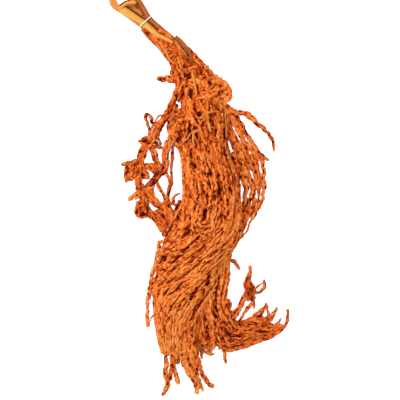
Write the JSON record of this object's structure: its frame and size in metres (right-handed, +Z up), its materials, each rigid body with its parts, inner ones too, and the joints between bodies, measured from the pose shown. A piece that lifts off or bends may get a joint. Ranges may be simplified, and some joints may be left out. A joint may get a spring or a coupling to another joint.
{
  "type": "tied bunch of dried hanging amaranth seed heads",
  "caption": "Tied bunch of dried orange hanging amaranth, lying flat: long knobbly tassels on cut stems, for display and flower arranging.",
  "frame": {"origin": "the middle of the flat spot under the heads, where the bunch rests", "axes": "+Z up from the surface, +Y from the tassel ends towards the cut stem ends, +X towards the side spray"},
  "size_m": [0.3469, 0.7774, 0.0659],
  "materials": {
    "tassels": "matte",
    "tan_stalk": "matte",
    "brown_stalk": "matte",
    "orange_stalk": "matte",
    "tie_band": "satin"
  },
  "bodies": {
    "root": {"head_top": "tassels", "head_under": "tassels", "head_left": "tassels", "head_right": "tassels", "stalk_tan": "tan_stalk", "stalk_brown": "brown_stalk", "stalk_orange": "orange_stalk", "stalk_rust": "orange_stalk", "tie": "tie_band"}
  },
  "joints": []
}
